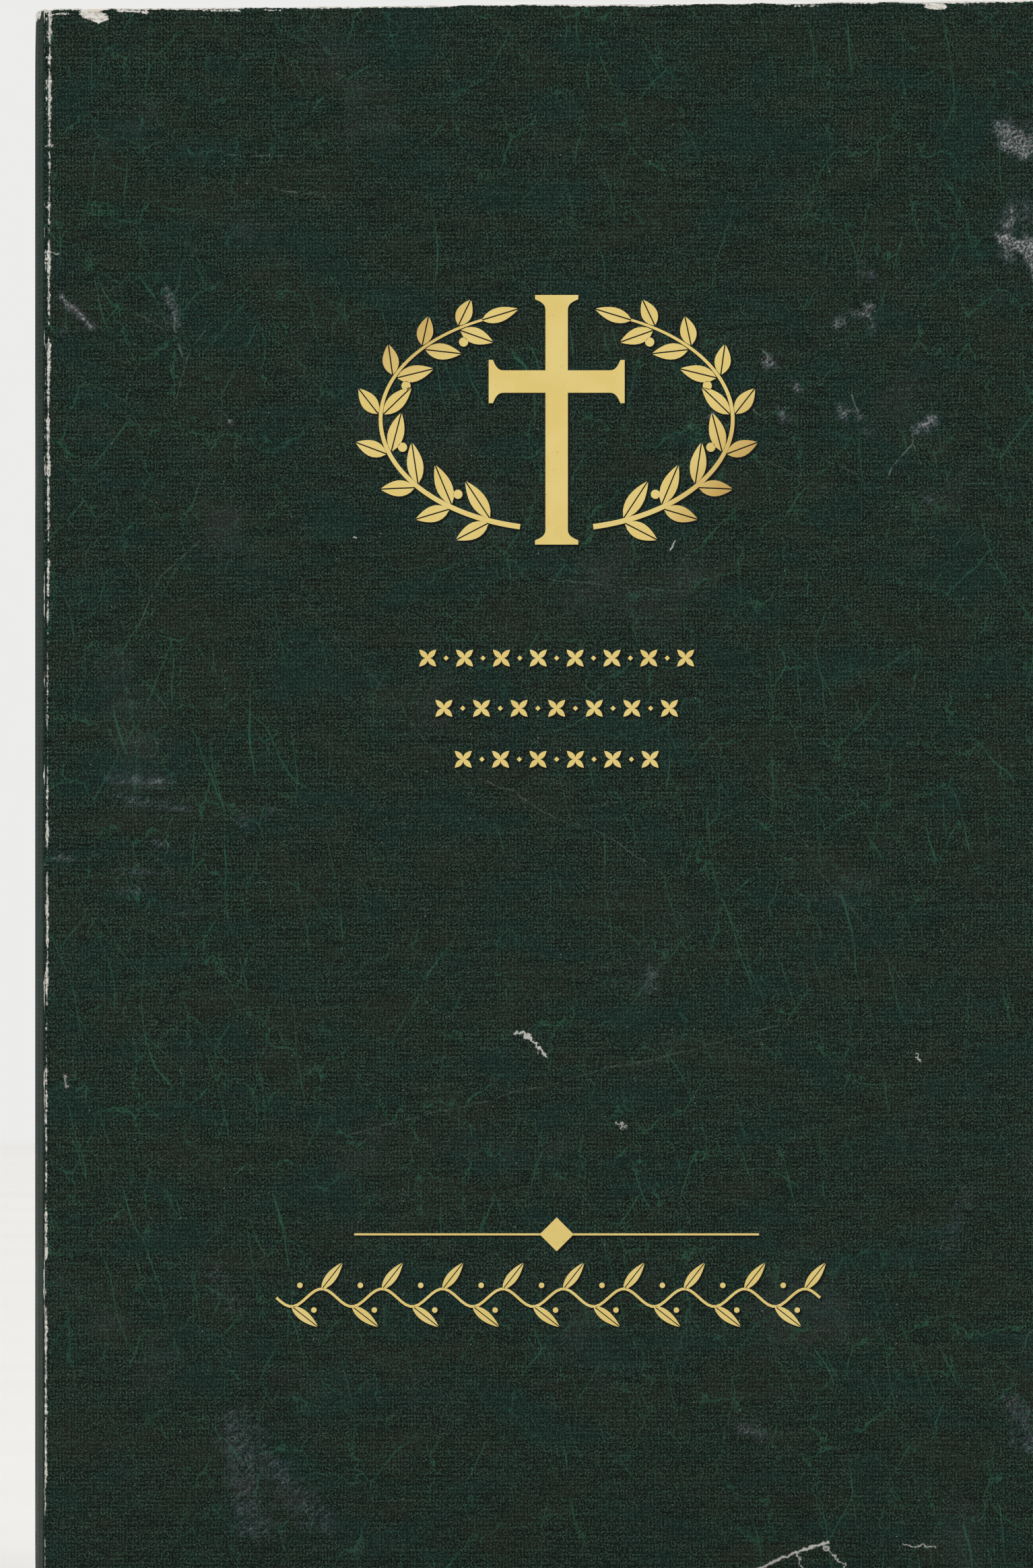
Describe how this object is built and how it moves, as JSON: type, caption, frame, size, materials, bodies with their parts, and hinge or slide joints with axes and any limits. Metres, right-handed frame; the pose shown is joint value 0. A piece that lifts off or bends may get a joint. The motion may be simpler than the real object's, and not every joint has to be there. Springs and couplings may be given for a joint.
{
  "type": "softcover bible",
  "caption": "Thick softcover devotional book with a worn dark green card cover, a rounded spine and a block of thin-paper sections that fan open.",
  "frame": {"origin": "middle of the footprint of the standing book, on the surface that its tail edge rests on", "axes": "+Z from tail to head, +Y from the front cover to the back cover, +X from the spine to the fore edge"},
  "size_m": [0.135, 0.0292, 0.2095],
  "materials": {
    "card": "laminated, satin, worn",
    "glue": "hot-melt glue, matt",
    "paper": "thin book paper, uncoated",
    "leaf_paper": "thin book paper, uncoated"
  },
  "bodies": {
    "bound_spine": {"spine_cover": "card", "spine_glue": "glue", "section_17": "paper", "section_18": "paper"},
    "front_board": {"front_cover": "card"},
    "back_board": {"back_cover": "card"},
    "first_leaf": {"front_flyleaf": "leaf_paper"},
    "second_leaf": {"title_leaf": "leaf_paper"},
    "last_leaf": {"back_flyleaf": "leaf_paper"},
    "section_01_body": {"section_01": "paper"},
    "section_02_body": {"section_02": "paper"},
    "section_03_body": {"section_03": "paper"},
    "section_04_body": {"section_04": "paper"},
    "section_05_body": {"section_05": "paper"},
    "section_06_body": {"section_06": "paper"},
    "section_07_body": {"section_07": "paper"},
    "section_08_body": {"section_08": "paper"},
    "section_09_body": {"section_09": "paper"},
    "section_10_body": {"section_10": "paper"},
    "section_11_body": {"section_11": "paper"},
    "section_12_body": {"section_12": "paper"},
    "section_13_body": {"section_13": "paper"},
    "section_14_body": {"section_14": "paper"},
    "section_15_body": {"section_15": "paper"},
    "section_16_body": {"section_16": "paper"},
    "section_19_body": {"section_19": "paper"},
    "section_20_body": {"section_20": "paper"},
    "section_21_body": {"section_21": "paper"},
    "section_22_body": {"section_22": "paper"},
    "section_23_body": {"section_23": "paper"},
    "section_24_body": {"section_24": "paper"},
    "section_25_body": {"section_25": "paper"},
    "section_26_body": {"section_26": "paper"},
    "section_27_body": {"section_27": "paper"},
    "section_28_body": {"section_28": "paper"},
    "section_29_body": {"section_29": "paper"},
    "section_30_body": {"section_30": "paper"},
    "section_31_body": {"section_31": "paper"},
    "section_32_body": {"section_32": "paper"},
    "section_33_body": {"section_33": "paper"},
    "section_34_body": {"section_34": "paper"}
  },
  "joints": [
    {"name": "front_cover_hinge", "type": "hinge", "parent": "bound_spine", "child": "front_board", "pos_m": [-0.06588, -0.01461, 0], "axis": [0, 0, -1], "range_deg": [0, 180]},
    {"name": "back_cover_hinge", "type": "hinge", "parent": "bound_spine", "child": "back_board", "pos_m": [-0.06588, 0.01461, 0], "axis": [0, 0, 1], "range_deg": [0, 180]},
    {"name": "front_flyleaf_turn", "type": "hinge", "parent": "bound_spine", "child": "first_leaf", "pos_m": [-0.06454, -0.01421, 0], "axis": [0, 0, -1], "range_deg": [0, 77.5]},
    {"name": "title_leaf_turn", "type": "hinge", "parent": "bound_spine", "child": "second_leaf", "pos_m": [-0.06456, -0.01411, 0], "axis": [0, 0, -1], "range_deg": [0, 71.5]},
    {"name": "back_flyleaf_turn", "type": "hinge", "parent": "bound_spine", "child": "last_leaf", "pos_m": [-0.06454, 0.01421, 0], "axis": [0, 0, 1], "range_deg": [0, 71.5]},
    {"name": "section_01_turn", "type": "hinge", "parent": "bound_spine", "child": "section_01_body", "pos_m": [-0.06466, -0.01364, 0], "axis": [0, 0, -1], "range_deg": [0, 65.5]},
    {"name": "section_02_turn", "type": "hinge", "parent": "bound_spine", "child": "section_02_body", "pos_m": [-0.06483, -0.01282, 0], "axis": [0, 0, -1], "range_deg": [0, 61.44]},
    {"name": "section_03_turn", "type": "hinge", "parent": "bound_spine", "child": "section_03_body", "pos_m": [-0.06498, -0.01199, 0], "axis": [0, 0, -1], "range_deg": [0, 57.38]},
    {"name": "section_04_turn", "type": "hinge", "parent": "bound_spine", "child": "section_04_body", "pos_m": [-0.06513, -0.01115, 0], "axis": [0, 0, -1], "range_deg": [0, 53.31]},
    {"name": "section_05_turn", "type": "hinge", "parent": "bound_spine", "child": "section_05_body", "pos_m": [-0.06527, -0.01033, 0], "axis": [0, 0, -1], "range_deg": [0, 49.25]},
    {"name": "section_06_turn", "type": "hinge", "parent": "bound_spine", "child": "section_06_body", "pos_m": [-0.06539, -0.00949, 0], "axis": [0, 0, -1], "range_deg": [0, 45.19]},
    {"name": "section_07_turn", "type": "hinge", "parent": "bound_spine", "child": "section_07_body", "pos_m": [-0.06551, -0.00867, 0], "axis": [0, 0, -1], "range_deg": [0, 41.12]},
    {"name": "section_08_turn", "type": "hinge", "parent": "bound_spine", "child": "section_08_body", "pos_m": [-0.06561, -0.00783, 0], "axis": [0, 0, -1], "range_deg": [0, 37.06]},
    {"name": "section_09_turn", "type": "hinge", "parent": "bound_spine", "child": "section_09_body", "pos_m": [-0.0657, -0.007, 0], "axis": [0, 0, -1], "range_deg": [0, 33]},
    {"name": "section_10_turn", "type": "hinge", "parent": "bound_spine", "child": "section_10_body", "pos_m": [-0.06579, -0.00617, 0], "axis": [0, 0, -1], "range_deg": [0, 28.94]},
    {"name": "section_11_turn", "type": "hinge", "parent": "bound_spine", "child": "section_11_body", "pos_m": [-0.06586, -0.00534, 0], "axis": [0, 0, -1], "range_deg": [0, 24.88]},
    {"name": "section_12_turn", "type": "hinge", "parent": "bound_spine", "child": "section_12_body", "pos_m": [-0.06592, -0.00451, 0], "axis": [0, 0, -1], "range_deg": [0, 20.81]},
    {"name": "section_13_turn", "type": "hinge", "parent": "bound_spine", "child": "section_13_body", "pos_m": [-0.06597, -0.00368, 0], "axis": [0, 0, -1], "range_deg": [0, 16.75]},
    {"name": "section_14_turn", "type": "hinge", "parent": "bound_spine", "child": "section_14_body", "pos_m": [-0.06601, -0.00285, 0], "axis": [0, 0, -1], "range_deg": [0, 12.69]},
    {"name": "section_15_turn", "type": "hinge", "parent": "bound_spine", "child": "section_15_body", "pos_m": [-0.06604, -0.00202, 0], "axis": [0, 0, -1], "range_deg": [0, 8.62]},
    {"name": "section_16_turn", "type": "hinge", "parent": "bound_spine", "child": "section_16_body", "pos_m": [-0.06606, -0.0012, 0], "axis": [0, 0, -1], "range_deg": [0, 4.56]},
    {"name": "section_19_turn", "type": "hinge", "parent": "bound_spine", "child": "section_19_body", "pos_m": [-0.06606, 0.00129, 0], "axis": [0, 0, 1], "range_deg": [0, 4.56]},
    {"name": "section_20_turn", "type": "hinge", "parent": "bound_spine", "child": "section_20_body", "pos_m": [-0.06604, 0.00213, 0], "axis": [0, 0, 1], "range_deg": [0, 8.62]},
    {"name": "section_21_turn", "type": "hinge", "parent": "bound_spine", "child": "section_21_body", "pos_m": [-0.06601, 0.00296, 0], "axis": [0, 0, 1], "range_deg": [0, 12.69]},
    {"name": "section_22_turn", "type": "hinge", "parent": "bound_spine", "child": "section_22_body", "pos_m": [-0.06597, 0.00379, 0], "axis": [0, 0, 1], "range_deg": [0, 16.75]},
    {"name": "section_23_turn", "type": "hinge", "parent": "bound_spine", "child": "section_23_body", "pos_m": [-0.06591, 0.00462, 0], "axis": [0, 0, 1], "range_deg": [0, 20.81]},
    {"name": "section_24_turn", "type": "hinge", "parent": "bound_spine", "child": "section_24_body", "pos_m": [-0.06585, 0.00545, 0], "axis": [0, 0, 1], "range_deg": [0, 24.88]},
    {"name": "section_25_turn", "type": "hinge", "parent": "bound_spine", "child": "section_25_body", "pos_m": [-0.06578, 0.00628, 0], "axis": [0, 0, 1], "range_deg": [0, 28.94]},
    {"name": "section_26_turn", "type": "hinge", "parent": "bound_spine", "child": "section_26_body", "pos_m": [-0.06569, 0.00711, 0], "axis": [0, 0, 1], "range_deg": [0, 33]},
    {"name": "section_27_turn", "type": "hinge", "parent": "bound_spine", "child": "section_27_body", "pos_m": [-0.0656, 0.00793, 0], "axis": [0, 0, 1], "range_deg": [0, 37.06]},
    {"name": "section_28_turn", "type": "hinge", "parent": "bound_spine", "child": "section_28_body", "pos_m": [-0.06549, 0.00877, 0], "axis": [0, 0, 1], "range_deg": [0, 41.12]},
    {"name": "section_29_turn", "type": "hinge", "parent": "bound_spine", "child": "section_29_body", "pos_m": [-0.06538, 0.00959, 0], "axis": [0, 0, 1], "range_deg": [0, 45.19]},
    {"name": "section_30_turn", "type": "hinge", "parent": "bound_spine", "child": "section_30_body", "pos_m": [-0.06525, 0.01043, 0], "axis": [0, 0, 1], "range_deg": [0, 49.25]},
    {"name": "section_31_turn", "type": "hinge", "parent": "bound_spine", "child": "section_31_body", "pos_m": [-0.06511, 0.01125, 0], "axis": [0, 0, 1], "range_deg": [0, 53.31]},
    {"name": "section_32_turn", "type": "hinge", "parent": "bound_spine", "child": "section_32_body", "pos_m": [-0.06497, 0.01209, 0], "axis": [0, 0, 1], "range_deg": [0, 57.38]},
    {"name": "section_33_turn", "type": "hinge", "parent": "bound_spine", "child": "section_33_body", "pos_m": [-0.06481, 0.01291, 0], "axis": [0, 0, 1], "range_deg": [0, 61.44]},
    {"name": "section_34_turn", "type": "hinge", "parent": "bound_spine", "child": "section_34_body", "pos_m": [-0.06464, 0.01375, 0], "axis": [0, 0, 1], "range_deg": [0, 65.5]}
  ],
  "couplings": [
    {"joint": "front_flyleaf_turn", "follows": "front_cover_hinge", "ratio": 0.42778},
    {"joint": "title_leaf_turn", "follows": "front_cover_hinge", "ratio": 0.39444},
    {"joint": "back_flyleaf_turn", "follows": "back_cover_hinge", "ratio": 0.39444},
    {"joint": "section_01_turn", "follows": "front_cover_hinge", "ratio": 0.36111},
    {"joint": "section_02_turn", "follows": "front_cover_hinge", "ratio": 0.33854},
    {"joint": "section_03_turn", "follows": "front_cover_hinge", "ratio": 0.31597},
    {"joint": "section_04_turn", "follows": "front_cover_hinge", "ratio": 0.2934},
    {"joint": "section_05_turn", "follows": "front_cover_hinge", "ratio": 0.27083},
    {"joint": "section_06_turn", "follows": "front_cover_hinge", "ratio": 0.24826},
    {"joint": "section_07_turn", "follows": "front_cover_hinge", "ratio": 0.22569},
    {"joint": "section_08_turn", "follows": "front_cover_hinge", "ratio": 0.20312},
    {"joint": "section_09_turn", "follows": "front_cover_hinge", "ratio": 0.18056},
    {"joint": "section_10_turn", "follows": "front_cover_hinge", "ratio": 0.15799},
    {"joint": "section_11_turn", "follows": "front_cover_hinge", "ratio": 0.13542},
    {"joint": "section_12_turn", "follows": "front_cover_hinge", "ratio": 0.11285},
    {"joint": "section_13_turn", "follows": "front_cover_hinge", "ratio": 0.090278},
    {"joint": "section_14_turn", "follows": "front_cover_hinge", "ratio": 0.067708},
    {"joint": "section_15_turn", "follows": "front_cover_hinge", "ratio": 0.045139},
    {"joint": "section_16_turn", "follows": "front_cover_hinge", "ratio": 0.022569},
    {"joint": "section_19_turn", "follows": "back_cover_hinge", "ratio": 0.022569},
    {"joint": "section_20_turn", "follows": "back_cover_hinge", "ratio": 0.045139},
    {"joint": "section_21_turn", "follows": "back_cover_hinge", "ratio": 0.067708},
    {"joint": "section_22_turn", "follows": "back_cover_hinge", "ratio": 0.090278},
    {"joint": "section_23_turn", "follows": "back_cover_hinge", "ratio": 0.11285},
    {"joint": "section_24_turn", "follows": "back_cover_hinge", "ratio": 0.13542},
    {"joint": "section_25_turn", "follows": "back_cover_hinge", "ratio": 0.15799},
    {"joint": "section_26_turn", "follows": "back_cover_hinge", "ratio": 0.18056},
    {"joint": "section_27_turn", "follows": "back_cover_hinge", "ratio": 0.20312},
    {"joint": "section_28_turn", "follows": "back_cover_hinge", "ratio": 0.22569},
    {"joint": "section_29_turn", "follows": "back_cover_hinge", "ratio": 0.24826},
    {"joint": "section_30_turn", "follows": "back_cover_hinge", "ratio": 0.27083},
    {"joint": "section_31_turn", "follows": "back_cover_hinge", "ratio": 0.2934},
    {"joint": "section_32_turn", "follows": "back_cover_hinge", "ratio": 0.31597},
    {"joint": "section_33_turn", "follows": "back_cover_hinge", "ratio": 0.33854},
    {"joint": "section_34_turn", "follows": "back_cover_hinge", "ratio": 0.36111}
  ]
}
